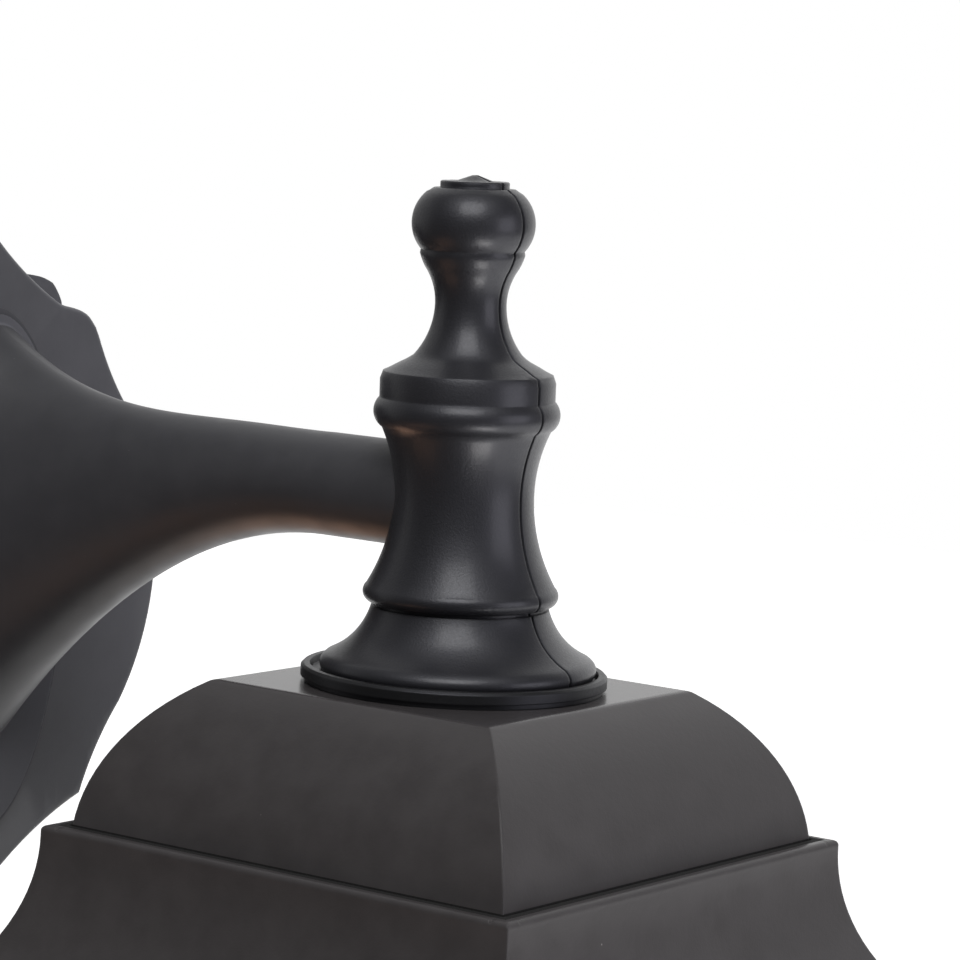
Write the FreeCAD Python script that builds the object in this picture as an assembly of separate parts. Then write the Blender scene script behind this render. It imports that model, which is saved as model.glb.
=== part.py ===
import FreeCAD
import Part
import math
import os

from FreeCAD import Vector

# Frame: the wall is the plane y = 0, the light hangs in front of it at -y, z is up,
# and the origin is the middle of the wall plate on the wall. Lengths in millimetres.

# Whole light
reach = 162.0              # wall to the lantern's upright axis
arm_height = 32.7          # arm's axis at the column, above the plate's centre
fit_gap = 0.3              # clearance between pieces that slip together
thread_gap = 0.05          # clearance of a screw in its thread
same_place = 1e-6          # points closer than this are one point

# Wall plate: pointed ogee outline, raised body on a thin flange
plate_half_width = 64.8
plate_tip = 84.2           # centre to the pointed top and bottom
shoulder_inset = 25.1      # widest point in to the corner shoulder
shoulder_drop = 24.4       # pointed tip down to the corner shoulder
bulge_inset = 11.7         # widest point in to the end of the side's round bulge
bulge_half_height = 36.8
tip_hollow = 2.5           # depth of the hollow curve between shoulder and tip
shoulder_hollow = 1.1      # depth of the hollow curve between bulge and shoulder
tip_growth = 1.3           # how much further a pointed tip moves than its sides when the outline grows
plate_depth = 20.0
plate_wall = 3.0
plate_draft = 1.5
plate_edge_round = 1.4
shoulder_round = 3.0
flange_width = 3.6
flange_thickness = 2.5
gasket_thickness = 1.5
gasket_width = 2.6
gasket_inset = 1.8         # flange's rim in to the gasket
wire_hole_radius = 8.0

# Arm: a trumpet from the column to an oval pad on the plate
arm_half_height = 11.5     # half section at the column
arm_half_width = 11.2
arm_wall = 3.0
pad_half_height = 64.0     # oval pad that lies on the plate
pad_half_width = 28.0
pad_thickness = 2.2
pad_round = 1.8
horn_overrun = 1.5         # run past the plate's face before the horn is trimmed
top_sweep = 64.1           # length over which the upper line rises
top_rise = 17.7
top_power = 2.54
bottom_sweep = 105.2       # length over which the lower line falls
bottom_drop = 64.8
bottom_power = 1.97
side_sweep = 90.0
side_spread = 12.5
side_power = 2.6
arm_stations = 10
station_power = 1.8        # stations crowd towards the plate
elbow_radius = 10.5
elbow_drop = 17.0          # arm's axis down to the elbow's lower face
elbow_rise = 9.0           # arm's axis up to the elbow's upper face
arm_screw_radius = 2.0
arm_screw_length = 13.0
arm_boss_radius = 5.0
arm_boss_length = 30.0
upper_boss_z = 44.0
lower_boss_z = -20.0
side_boss_x = 14.0
side_boss_z = 10.0

# Column: radii, and the rise from each level to the next
column_wall = 2.6
arm_entry = 38.0           # foot's underside up to the arm's axis
foot_radius = 30.4
foot_edge = 3.0            # underside up to the foot's widest point
foot_tuck = 0.9            # how far the rounded lip draws in at the underside
lip_inset = 4.1            # widest point in to the top of the rounded lip
lip_height = 5.9
flare_sag = 2.2            # depth of the hollow curve from the lip to the step
step_radius = 18.6         # undercut between foot and body
step_height = 14.6
step_gap = 1.0
rim_radius = 21.3
rim_rise = 1.8
rim_top_radius = 20.6
rim_top_rise = 2.2
waist_radius = 15.25
waist_rise = 19.9
bead_foot_radius = 18.4
bead_foot_rise = 14.3
bead_radius = 20.3
bead_rise = 3.6
collar_radius = 19.1
collar_rise = 2.9          # bead's widest point up to the collar
collar_height = 4.0
collar_chamfer = 0.6
hollow_rise = 1.2          # collar's lower edge up to the ceiling of the hollow
neck_radius = 7.75
neck_rise = 16.7
throat_radius = 9.6
throat_rise = 6.8
cup_radius = 11.4
cup_rise = 3.9
cup_swell = 0.2            # bulge of the cup's side
ball_gap = 0.8             # cup's rim up to the ball
ball_foot_radius = 11.0
ball_radius = 13.15
ball_round = 8.8           # radius of the ball's rounded profile
ball_crown_radius = 8.8
button_radius = 7.5
button_height = 1.5
button_edge = 0.25
cone_radius = 4.2
cone_tip_radius = 0.6
cone_height = 1.3
seam_width = 0.8
seam_depth = 0.8
peg_radius = 1.6
peg_length = 4.0
peg_offset = 11.0          # column's axis out to the collar pegs

# Dished ring under the column
ring_gap = 0.6             # foot to the inside of the ring's lip
ring_height = 3.8
ring_floor = 2.4           # height of the recess that takes the foot
ring_lip = 2.5
ring_edge = 0.6            # chamfer along the lip
ring_band_height = 1.2     # recessed lower band
ring_band_inset = 0.9
ring_seat = 6.4            # foot's edge in to the ring's bore

# Roof: square in plan, each size measured on from the one before
roof_wall = 2.5
flat_margin = 3.6          # ring's edge out to the edge of the flat top
dome_height = 32.8
dome_run = 20.6            # flat top's edge out to the dome's foot
dome_bow = 4.2             # how far the dome's curve bulges out of its chord
dome_edge = 0.9            # softened edge round the flat top
dome_edge_drop = 0.6       # how far that edge falls
ledge_width = 4.8          # dome's foot out to the ledge's edge
ledge_round = 1.2
groove_width = 0.7
groove_depth = 0.7
skirt_top = 2.0            # ledge down to the start of the skirt's curve
skirt_radius = 47.0
skirt_run = 19.5           # ledge's edge out to the eave
eave_lip = 5.0

# Hollow threaded tube and its nuts
tube_radius = 5.0
tube_bore = 3.7
tube_engage = 10.0         # length screwed into the elbow
nut_half_flats = 7.0
nut_chamfer = 1.0
elbow_nut_thickness = 4.0
roof_nut_thickness = 5.0
washer_radius = 15.0
washer_thickness = 1.5

# Lampholder and bulb
holder_gap = 3.5           # roof nut down to the lampholder
holder_radius = 20.0
holder_wall = 2.0
cap_height = 20.0
cap_hub_radius = 8.5
cap_hub_height = 4.0
sleeve_height = 34.0
sleeve_overlap = 5.0       # sleeve's spigot inside the cap
sleeve_mouth_radius = 17.0
core_height = 12.0
core_chamfer = 0.5
core_cable_radius = 1.5
core_cable_offset = 11.0
shell_radius = 13.9
shell_wall = 0.5
shell_length = 22.0
contact_radius = 4.0
contact_stem_radius = 2.0
contact_thickness = 0.8
contact_rise = 2.0
bulb_cap_radius = 13.0
bulb_cap_length = 23.0
bulb_tip_radius = 4.5
bulb_tip_length = 2.6
bulb_radius = 30.0
bulb_length = 78.0         # glass below the bulb's screw cap
bulb_neck_radius = 14.5
bulb_neck_length = 12.0

# Lantern cage, panes and thumbscrews
cage_wall = 3.0
cage_shoulder = 14.0       # flange's edge in to the cage's wall
cage_taper = 14.0          # how far each side leans in from top to bottom
cage_height = 145.0
flange_clearance = 4.7     # flange's edge to the inside of the skirt
cage_flange_thickness = 3.0
flange_rise = 6.0          # eave's lower edge up to the top of the cage's flange
top_rail = 12.0
bottom_rail = 12.0
window_border = 8.0
pane_thickness = 3.0
post_size = 7.2
post_margin = 4.5          # inner corner to the pane's edge
pane_seat = 8.0            # cage's lower edge up to the panes
block_size = 9.0
cage_screw_inset = 7.0     # flange's edge in to each thumbscrew
cage_screw_radius = 2.0
cage_screw_reach = 8.0     # thread above the flange
thumb_radius = 5.0
thumb_height = 7.0
thumb_flutes = 12
thumb_flute_radius = 0.8
cage_boss_radius = 4.5

# Bottom tray and knob
tray_overhang = 3.0
tray_plate = 3.0
tray_drop = 11.0
tray_foot_half = 24.0
tray_wall = 2.5
tray_upstand = 4.0
tray_bow = 2.6             # bulge of the moulded underside
drain_radius = 2.0
drain_offset = 15.0
tray_screw_radius = 1.5
tray_screw_length = 8.0
tray_screw_inset = 4.6
tray_head_radius = 2.8
tray_head_height = 1.8
knob_radius = 9.0
knob_neck_radius = 4.5
knob_neck_height = 4.0
knob_collar_radius = 7.0
knob_collar_height = 2.5
knob_stud_radius = 2.5
knob_stud_proud = 2.5      # stud above its nut
knob_nut_half_flats = 4.0
knob_nut_thickness = 4.0

# Wall bracket, side screws and terminal block
bracket_thickness = 2.0
bracket_half_height = 9.0
bend_radius = 1.6          # outer bend of the side tabs
tab_depth = 15.0
slot_spacing = 51.0        # between the centres of the two wall slots
slot_length = 14.0
slot_radius = 2.6
bracket_hole_radius = 9.5
tongue_half_width = 9.0
tongue_drop = 42.0         # plate's centre down to the tongue's end
side_screw_radius = 2.0
side_screw_y = 10.0        # wall to the side screws
side_head_radius = 3.6
side_head_height = 2.4
slot_cut_width = 0.9       # screwdriver slots in the screw heads
slot_cut_depth = 0.9
head_chamfer = 0.6
block_width = 27.0
block_height = 14.0
block_depth = 11.0
block_z = -32.0
block_pitch = 9.0
block_notch = 1.5          # gap between neighbouring terminals
block_peg_radius = 1.5
block_peg_spacing = 9.0
terminal_radius = 1.7
terminal_depth = 5.0
terminal_row = 3.6         # block's middle line to each row of terminal screws
wire_well_radius = 1.5

# Levels worked out from the sizes above
rim_height = step_height + step_gap + rim_rise
rim_top = rim_height + rim_top_rise
waist_height = rim_top + waist_rise
bead_foot = waist_height + bead_foot_rise
bead_height = bead_foot + bead_rise
collar_bottom = bead_height + collar_rise
collar_top = collar_bottom + collar_height
hollow_top = collar_bottom + hollow_rise
peg_height = hollow_top + peg_radius + fit_gap
neck_height = collar_top + neck_rise
throat_height = neck_height + throat_rise
cup_height = throat_height + cup_rise
ball_bottom = cup_height + ball_gap
ball_middle = ball_radius - ball_round
ball_height = ball_bottom + math.sqrt(ball_round ** 2 - (ball_foot_radius - ball_middle) ** 2)
button_bottom = ball_height + math.sqrt(ball_round ** 2 - (ball_crown_radius - ball_middle) ** 2)
button_top = button_bottom + button_height
cone_tip = button_top + cone_height
ring_radius = foot_radius + ring_gap + ring_lip
ring_bore_radius = foot_radius - ring_seat
flat_half = ring_radius + flat_margin
dome_half = flat_half + dome_run
ledge_half = dome_half + ledge_width
eave_half = ledge_half + skirt_run
column_z = arm_height - arm_entry
roof_top_z = column_z - ring_floor
ledge_z = roof_top_z - dome_height
skirt_z = ledge_z - skirt_top
skirt_drop = math.sqrt(skirt_radius ** 2 - (skirt_radius - skirt_run) ** 2)
eave_z = skirt_z - skirt_drop - eave_lip
ceiling_z = roof_top_z - roof_wall
elbow_z = arm_height - elbow_drop
roof_nut_z = ceiling_z - washer_thickness - roof_nut_thickness
cap_z = roof_nut_z - holder_gap
cap_bottom_z = cap_z - cap_height
sleeve_z = cap_bottom_z - sleeve_height
core_z = cap_bottom_z - core_height + sleeve_overlap
shell_z = core_z - shell_length
flange_z = eave_z + flange_rise
skirt_inner_half = ledge_half + skirt_radius - math.sqrt((skirt_radius + roof_wall) ** 2
                                                         - (skirt_z - flange_z) ** 2)
cage_flange_half = skirt_inner_half - flange_clearance
cage_top_half = cage_flange_half - cage_shoulder
cage_bottom_half = cage_top_half - cage_taper
cage_screw_offset = cage_flange_half - cage_screw_inset
cage_top_z = flange_z - cage_flange_thickness
cage_z = cage_top_z - cage_height
front_y = -plate_depth
axis_y = -reach


def line(a, b):
    return Part.LineSegment(a, b).toShape()


def arc(a, b, c):
    return Part.Arc(a, b, c).toShape()


def face_of(edges):
    return Part.Face(Part.Wire(Part.__sortEdges__(edges)))


def rod(radius, length, start, direction=Vector(0, 0, 1)):
    return Part.makeCylinder(radius, length, start, direction)


def box(x0, x1, y0, y1, z0, z1):
    return Part.makeBox(x1 - x0, y1 - y0, z1 - z0, Vector(x0, y0, z0))


def joined(shapes):
    return shapes[0].multiFuse(shapes[1:]).removeSplitter()


# A point in the lantern's own half plane, for turned profiles.
def on_axis(radius, z):
    return Vector(radius, axis_y, z)


def turned(edges):
    return face_of(edges).revolve(Vector(0, axis_y, 0), Vector(0, 0, 1), 360)


def turned_points(points):
    corners = [on_axis(r, z) for r, z in points]
    return turned([line(a, b) for a, b in zip(corners, corners[1:] + corners[:1])])


# An arc that leaves the waist point parallel to the axis and ends at the other point.
def arc_upright_at(waist, end):
    across = end.x - waist.x
    along = end.z - waist.z
    radius = (across ** 2 + along ** 2) / (2 * abs(across))
    half = math.asin(abs(along) / radius) / 2
    side = math.copysign(1, across)
    rise = math.copysign(radius * math.sin(half), along)
    return arc(waist, waist + Vector(side * radius * (1 - math.cos(half)), 0, rise), end)


# An arc that leaves the first point level and curves down to the other point.
def arc_level_at(start, end):
    across = end.x - start.x
    fall = start.z - end.z
    radius = (across ** 2 + fall ** 2) / (2 * fall)
    half = math.asin(across / radius) / 2
    return arc(start, start + Vector(radius * math.sin(half), 0, -radius * (1 - math.cos(half))), end)


def hexagon(half_flats, bore, thickness, base):
    corner = half_flats / math.cos(math.pi / 6)
    points = [base + Vector(corner * math.cos(k * math.pi / 3), corner * math.sin(k * math.pi / 3), 0)
              for k in range(6)]
    prism = Part.Face(Part.makePolygon(points + points[:1])).extrude(Vector(0, 0, thickness))
    crown = Part.makeCone(corner, half_flats, nut_chamfer, base + Vector(0, 0, thickness - nut_chamfer))
    foot = Part.makeCone(half_flats, corner, nut_chamfer, base)
    body = rod(corner, thickness - 2 * nut_chamfer, base + Vector(0, 0, nut_chamfer))
    return prism.common(joined([foot, body, crown])).cut(rod(bore, thickness, base))


# The shape and its copies at the other three sides of the square lantern.
def four_ways(shape):
    copies = []
    for quarter in range(4):
        copy = shape.copy()
        copy.rotate(Vector(0, axis_y, 0), Vector(0, 0, 1), 90 * quarter)
        copies.append(copy)
    return copies


# Wall plate
# An arc from a to b that bows towards the plate's centre.
def bowed(a, b, hollow):
    middle = (a + b) * 0.5
    normal = Vector(b.z - a.z, 0, a.x - b.x).normalize()
    if normal.dot(middle) > 0:
        normal = normal * -1
    return arc(a, middle + normal * hollow, b)


def plate_outline(grow, y):
    half_width = plate_half_width + grow
    tip_z = plate_tip + tip_growth * grow
    shoulder = (half_width - shoulder_inset, plate_tip - shoulder_drop + grow)
    bulge = (half_width - bulge_inset, bulge_half_height)
    edges = []
    for x_side in (1, -1):
        for z_side in (1, -1):
            tip = Vector(0, y, z_side * tip_z)
            corner = Vector(x_side * shoulder[0], y, z_side * shoulder[1])
            bulge_end = Vector(x_side * bulge[0], y, z_side * bulge[1])
            edges.append(bowed(tip, corner, tip_hollow))
            edges.append(bowed(corner, bulge_end, shoulder_hollow))
        upper = Vector(x_side * bulge[0], y, bulge[1])
        lower = Vector(x_side * bulge[0], y, -bulge[1])
        edges.append(arc(upper, Vector(x_side * half_width, y, 0), lower))
    return Part.Wire(Part.__sortEdges__(edges))


def plate_tier(grow, y, thickness):
    return Part.Face(plate_outline(grow, y)).extrude(Vector(0, -thickness, 0))


# The flange, with its four shoulders rounded.
def plate_flange():
    flange = plate_tier(flange_width, 0, flange_thickness)
    shoulder_x = plate_half_width + flange_width - shoulder_inset
    shoulders = [e for e in flange.Edges if all(abs(abs(v.X) - shoulder_x) < same_place for v in e.Vertexes)]
    return flange.makeFillet(shoulder_round, shoulders)


def arm_screw_places():
    return [(0, upper_boss_z), (0, lower_boss_z), (side_boss_x, side_boss_z), (-side_boss_x, side_boss_z)]


def gasket_ring(gap):
    outer = flange_width - gasket_inset + gap
    inner = flange_width - gasket_inset - gasket_width - gap
    depth = gasket_thickness + gap
    return plate_tier(outer, 0, depth).cut(plate_tier(inner, 0, depth))


def wall_plate():
    front = plate_outline(-plate_draft, front_y)
    body = Part.makeLoft([plate_outline(0, -flange_thickness), front], True, True)
    rim = [e for e in body.Edges if all(abs(v.Y - front_y) < same_place for v in e.Vertexes)]
    body = body.makeFillet(plate_edge_round, rim)
    plate = joined([plate_flange(), body])
    deep_y = front_y + plate_wall
    hollow = Part.makeLoft([plate_outline(-plate_wall, 0),
                            plate_outline(-plate_wall - plate_draft, deep_y)], True, True)
    plate = plate.cut(hollow).cut(gasket_ring(thread_gap))
    plate = plate.cut(rod(wire_hole_radius, plate_wall, Vector(0, deep_y, side_boss_z), Vector(0, -1, 0)))
    for x, z in arm_screw_places():
        hole = rod(arm_screw_radius + fit_gap, plate_wall, Vector(x, deep_y, z), Vector(0, -1, 0))
        plate = plate.cut(hole)
    through = rod(side_screw_radius + fit_gap, 2 * plate_half_width,
                  Vector(-plate_half_width, -side_screw_y, 0), Vector(1, 0, 0))
    return plate.cut(through)


# Arm
# The arm's oval section at a distance from the wall.
def arm_oval(distance, inset):
    ahead = distance - plate_depth
    rise = top_rise * max(0.0, 1 - ahead / top_sweep) ** top_power
    drop = bottom_drop * max(0.0, 1 - ahead / bottom_sweep) ** bottom_power
    spread = side_spread * max(0.0, 1 - ahead / side_sweep) ** side_power
    top = arm_height + arm_half_height + rise - inset
    bottom = arm_height - arm_half_height - drop + inset
    half_width = arm_half_width + spread - inset
    return oval_wire(-distance, half_width, bottom, top)


def oval_wire(y, half_width, bottom, top):
    middle = Vector(0, y, (top + bottom) / 2)
    oval = Part.Ellipse(Vector(0, y, top), middle + Vector(half_width, 0, 0), middle)
    return Part.Wire(oval.toShape())


# The horn runs a little past the plate's face and is trimmed there.
def arm_horn(inset):
    stations = [plate_depth - horn_overrun]
    for k in range(arm_stations + 1):
        stations.append(plate_depth + bottom_sweep * (k / arm_stations) ** station_power)
    horn = Part.makeLoft([arm_oval(s, inset) for s in stations], True, False)
    room = 2 * pad_half_height
    return horn.common(box(-room, room, axis_y, front_y, -room, room))


def arm_pad():
    rim = oval_wire(front_y, pad_half_width, -pad_half_height, pad_half_height)
    pad = Part.Face(rim).extrude(Vector(0, -pad_thickness, 0))
    edge = [e for e in pad.Edges if abs(e.BoundBox.YMax - front_y + pad_thickness) < same_place]
    return pad.makeFillet(pad_round, edge)


def arm_stub(inset, far_y):
    start = plate_depth + bottom_sweep
    return Part.Face(arm_oval(start, inset)).extrude(Vector(0, far_y + start, 0))


def arm():
    elbow = rod(elbow_radius, elbow_drop + elbow_rise, on_axis(0, elbow_z))
    outside = arm_horn(0).multiFuse([arm_pad(), arm_stub(0, axis_y), elbow])
    hollow = arm_horn(arm_wall).fuse(arm_stub(arm_wall, axis_y))
    for x, z in arm_screw_places():
        hollow = hollow.cut(rod(arm_boss_radius, arm_boss_length, Vector(x, front_y, z), Vector(0, -1, 0)))
    shell = outside.cut(hollow)
    for x, z in arm_screw_places():
        shell = shell.cut(rod(arm_screw_radius + thread_gap, arm_screw_length,
                              Vector(x, front_y, z), Vector(0, -1, 0)))
    return shell.cut(rod(tube_radius + thread_gap, elbow_drop, on_axis(0, elbow_z)))


# A screw along +z with its head below z = 0 and a driver slot in the head.
def slotted_screw(radius, length, head_radius, head_height):
    head = rod(head_radius, head_height, Vector(0, 0, -head_height))
    edge = [e for e in head.Edges if abs(e.BoundBox.ZMax + head_height) < same_place]
    head = head.makeChamfer(head_chamfer, edge)
    screw = head.fuse(rod(radius, length, Vector(0, 0, 0))).removeSplitter()
    slot = box(-slot_cut_width / 2, slot_cut_width / 2, -head_radius, head_radius,
               -head_height, -head_height + slot_cut_depth)
    return screw.cut(slot)


def placed(shape, direction, position):
    shape.Placement = FreeCAD.Placement(position, FreeCAD.Rotation(Vector(0, 0, 1), direction))
    return shape


def arm_screws():
    screws = []
    for x, z in arm_screw_places():
        screw = slotted_screw(arm_screw_radius, arm_screw_length, side_head_radius, side_head_height)
        screws.append(placed(screw, Vector(0, -1, 0), Vector(x, front_y + plate_wall, z)))
    return Part.Compound(screws)


# Column
def column_body(inset):
    def at(radius, height):
        lowered = height - inset if height > ball_height else height
        return on_axis(max(radius - inset, 0), column_z + lowered)

    lip_radius = foot_radius - lip_inset
    flare_run = lip_radius - step_radius
    flare_rise = step_height - lip_height
    flare_chord = math.hypot(flare_run, flare_rise)
    flare_radius = (lip_radius + step_radius) / 2 - flare_sag * flare_rise / flare_chord
    flare_height = (lip_height + step_height) / 2 - flare_sag * flare_run / flare_chord
    cone_foot = collar_radius - collar_chamfer
    cup_mid = (throat_radius + cup_radius) / 2 + cup_swell
    cup_mid_height = (throat_height + cup_height) / 2
    edges = [
        line(at(0, 0), at(foot_radius - foot_tuck, 0)),
        arc(at(foot_radius - foot_tuck, 0), at(foot_radius, foot_edge), at(lip_radius, lip_height)),
        arc(at(lip_radius, lip_height), at(flare_radius, flare_height), at(step_radius, step_height)),
        line(at(step_radius, step_height), at(step_radius, step_height + step_gap)),
        arc(at(step_radius, step_height + step_gap), at(rim_radius, rim_height),
            at(rim_top_radius, rim_top)),
        arc_upright_at(at(waist_radius, waist_height), at(rim_top_radius, rim_top)),
        arc_upright_at(at(waist_radius, waist_height), at(bead_foot_radius, bead_foot)),
        arc(at(bead_foot_radius, bead_foot), at(bead_radius, bead_height),
            at(collar_radius, collar_bottom)),
        line(at(collar_radius, collar_bottom), at(collar_radius, collar_top)),
        line(at(collar_radius, collar_top), at(cone_foot, collar_top + collar_chamfer)),
        arc_upright_at(at(neck_radius, neck_height), at(cone_foot, collar_top + collar_chamfer)),
        arc_upright_at(at(neck_radius, neck_height), at(throat_radius, throat_height)),
        arc(at(throat_radius, throat_height), at(cup_mid, cup_mid_height), at(cup_radius, cup_height)),
        line(at(cup_radius, cup_height), at(ball_foot_radius, ball_bottom)),
        arc(at(ball_foot_radius, ball_bottom), at(ball_radius, ball_height),
            at(ball_crown_radius, button_bottom)),
        line(at(ball_crown_radius, button_bottom), at(button_radius, button_bottom)),
        line(at(button_radius, button_bottom), at(button_radius, button_top - button_edge)),
        line(at(button_radius, button_top - button_edge), at(button_radius - button_edge, button_top)),
        line(at(button_radius - button_edge, button_top), at(cone_radius, button_top)),
        line(at(cone_radius, button_top), at(cone_tip_radius + inset, cone_tip)),
        line(at(cone_tip_radius + inset, cone_tip), at(0, cone_tip)),
        line(at(0, cone_tip), at(0, 0)),
    ]
    return turned(edges)


def column_hollow():
    def at(radius, height):
        return on_axis(radius, column_z + height)

    foot_in = foot_radius - column_wall
    step_in = step_radius - column_wall
    waist_in = waist_radius - column_wall
    bead_in = bead_foot_radius - column_wall
    edges = [
        line(at(0, 0), at(foot_in, 0)),
        arc_upright_at(at(step_in, step_height), at(foot_in, 0)),
        arc_upright_at(at(waist_in, waist_height), at(step_in, step_height)),
        arc_upright_at(at(waist_in, waist_height), at(bead_in, bead_foot)),
        line(at(bead_in, bead_foot), at(bead_in, hollow_top)),
        line(at(bead_in, hollow_top), at(0, hollow_top)),
        line(at(0, hollow_top), at(0, 0)),
    ]
    return turned(edges)


def peg_places():
    collar = [Vector(0, axis_y + side * peg_offset, column_z + peg_height) for side in (1, -1)]
    return collar + [on_axis(0, column_z + ball_height)]


# One half shell; side is -1 for the left one, which carries the pegs.
def column_half(side):
    solid = column_body(0)
    reach_out = foot_radius + fit_gap
    slab = box(-seam_width / 2, seam_width / 2, axis_y - reach_out, axis_y + reach_out,
               column_z, column_z + cone_tip)
    seam = solid.cut(column_body(seam_depth)).common(slab)
    shell = solid.cut(column_hollow()).cut(seam).cut(arm_stub(-fit_gap, axis_y))
    inner, outer = sorted((0, side * reach_out))
    half = shell.common(box(inner, outer, axis_y - reach_out, axis_y + reach_out,
                            column_z, column_z + cone_tip))
    for place in peg_places():
        if side < 0:
            half = half.fuse(rod(peg_radius, peg_length, place, Vector(1, 0, 0)))
        else:
            half = half.cut(rod(peg_radius + fit_gap / 2, peg_length + fit_gap, place, Vector(1, 0, 0)))
    return half.removeSplitter()


def column_ring():
    band_radius = ring_radius - ring_band_inset
    lip_in = ring_radius - ring_lip
    points = [
        (ring_bore_radius, 0),
        (band_radius, 0),
        (band_radius, ring_band_height),
        (ring_radius, ring_band_height),
        (ring_radius, ring_height - ring_edge),
        (ring_radius - ring_edge, ring_height),
        (lip_in + ring_edge, ring_height),
        (lip_in, ring_floor),
        (ring_bore_radius, ring_floor),
    ]
    return turned_points([(r, roof_top_z + h) for r, h in points])


# Roof
# A square-plan solid from one side of its section, given from the top down.
def square_solid(edges):
    mirrored = [e.mirror(Vector(0, 0, 0), Vector(1, 0, 0)) for e in edges]
    section = face_of(edges + mirrored)
    section.translate(Vector(0, eave_half, 0))
    across = section.extrude(Vector(0, -2 * eave_half, 0))
    along = across.copy()
    along.rotate(Vector(0, axis_y, 0), Vector(0, 0, 1), 90)
    return across.common(along).removeSplitter()


def skirt_half(z, inset):
    return ledge_half + skirt_radius - math.sqrt((skirt_radius + inset) ** 2 - (skirt_z - z) ** 2)


def dome_arc(start, end):
    chord = end - start
    normal = Vector(-chord.z, 0, chord.x).normalize()
    return arc(start, (start + end) * 0.5 + normal * dome_bow, end)


def roof_outside():
    lip_z = eave_z + eave_lip
    mid_z = (skirt_z + lip_z) / 2
    groove_out = dome_half + groove_width
    dome_foot = on_axis(dome_half, ledge_z)
    dome_head = on_axis(flat_half + dome_edge, roof_top_z - dome_edge_drop)
    edges = [
        line(on_axis(0, roof_top_z), on_axis(flat_half - dome_edge, roof_top_z)),
        arc_level_at(on_axis(flat_half - dome_edge, roof_top_z), dome_head),
        dome_arc(dome_head, dome_foot),
        line(dome_foot, on_axis(dome_half, ledge_z - groove_depth)),
        line(on_axis(dome_half, ledge_z - groove_depth), on_axis(groove_out, ledge_z - groove_depth)),
        line(on_axis(groove_out, ledge_z - groove_depth), on_axis(groove_out, ledge_z)),
        line(on_axis(groove_out, ledge_z), on_axis(ledge_half - ledge_round, ledge_z)),
        arc_level_at(on_axis(ledge_half - ledge_round, ledge_z),
                     on_axis(ledge_half, ledge_z - ledge_round)),
        line(on_axis(ledge_half, ledge_z - ledge_round), on_axis(ledge_half, skirt_z)),
        arc(on_axis(ledge_half, skirt_z), on_axis(skirt_half(mid_z, 0), mid_z), on_axis(eave_half, lip_z)),
        line(on_axis(eave_half, lip_z), on_axis(eave_half, eave_z)),
        line(on_axis(eave_half, eave_z), on_axis(0, eave_z)),
    ]
    return square_solid(edges)


def roof_inside():
    lip_z = eave_z + eave_lip
    mid_z = (skirt_z + lip_z) / 2
    shelf_z = ledge_z - groove_depth - roof_wall
    start_z = min(skirt_z, shelf_z)
    dome_head = on_axis(flat_half, ceiling_z)
    dome_foot = on_axis(dome_half - roof_wall, shelf_z)
    edges = [
        line(on_axis(0, ceiling_z), dome_head),
        dome_arc(dome_head, dome_foot),
        line(dome_foot, on_axis(skirt_half(start_z, roof_wall), start_z)),
        arc(on_axis(skirt_half(start_z, roof_wall), start_z), on_axis(skirt_half(mid_z, roof_wall), mid_z),
            on_axis(skirt_half(lip_z, roof_wall), lip_z)),
        line(on_axis(skirt_half(lip_z, roof_wall), lip_z), on_axis(skirt_half(lip_z, roof_wall), eave_z)),
        line(on_axis(skirt_half(lip_z, roof_wall), eave_z), on_axis(0, eave_z)),
    ]
    return square_solid(edges)


def roof():
    outside = roof_outside()
    shell = outside.cut(roof_inside())
    screw_at = Vector(cage_screw_offset, axis_y, flange_z)
    post = rod(cage_boss_radius, ledge_z - flange_z, screw_at)
    hole = rod(cage_screw_radius + thread_gap, cage_screw_reach, screw_at)
    for boss in four_ways(post):
        shell = shell.fuse(boss.common(outside))
    for thread in four_ways(hole):
        shell = shell.cut(thread)
    shell = shell.cut(rod(tube_radius + fit_gap, roof_wall, on_axis(0, ceiling_z)))
    return shell.removeSplitter()


# Tube, nuts and washer
def threaded_tube():
    bottom = cap_z - cap_hub_height
    length = elbow_z + tube_engage - bottom
    tube = rod(tube_radius, length, on_axis(0, bottom))
    return tube.cut(rod(tube_bore, length, on_axis(0, bottom)))


def elbow_nut():
    return hexagon(nut_half_flats, tube_radius + thread_gap, elbow_nut_thickness,
                   on_axis(0, elbow_z - elbow_nut_thickness))


def roof_nut():
    return hexagon(nut_half_flats, tube_radius + thread_gap, roof_nut_thickness, on_axis(0, roof_nut_z))


def roof_washer():
    bottom = ceiling_z - washer_thickness
    disc = rod(washer_radius, washer_thickness, on_axis(0, bottom))
    return disc.cut(rod(tube_radius + fit_gap, washer_thickness, on_axis(0, bottom)))


# Lampholder
def holder_cap():
    inner = holder_radius - holder_wall
    floor_z = cap_z - cap_hub_height
    dome_z = cap_z - cap_height / 2
    bore = tube_radius + thread_gap
    shoulder_out = on_axis(cap_hub_radius + holder_wall, cap_z - holder_wall)
    shoulder_in = on_axis(cap_hub_radius, floor_z)
    edges = [
        line(on_axis(bore, cap_z), on_axis(cap_hub_radius, cap_z)),
        line(on_axis(cap_hub_radius, cap_z), shoulder_out),
        line(shoulder_out, on_axis(holder_radius, dome_z)),
        line(on_axis(holder_radius, dome_z), on_axis(holder_radius, cap_bottom_z)),
        line(on_axis(holder_radius, cap_bottom_z), on_axis(inner, cap_bottom_z)),
        line(on_axis(inner, cap_bottom_z), on_axis(inner, dome_z)),
        line(on_axis(inner, dome_z), shoulder_in),
        line(shoulder_in, on_axis(bore, floor_z)),
        line(on_axis(bore, floor_z), on_axis(bore, cap_z)),
    ]
    return turned(edges)


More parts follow.
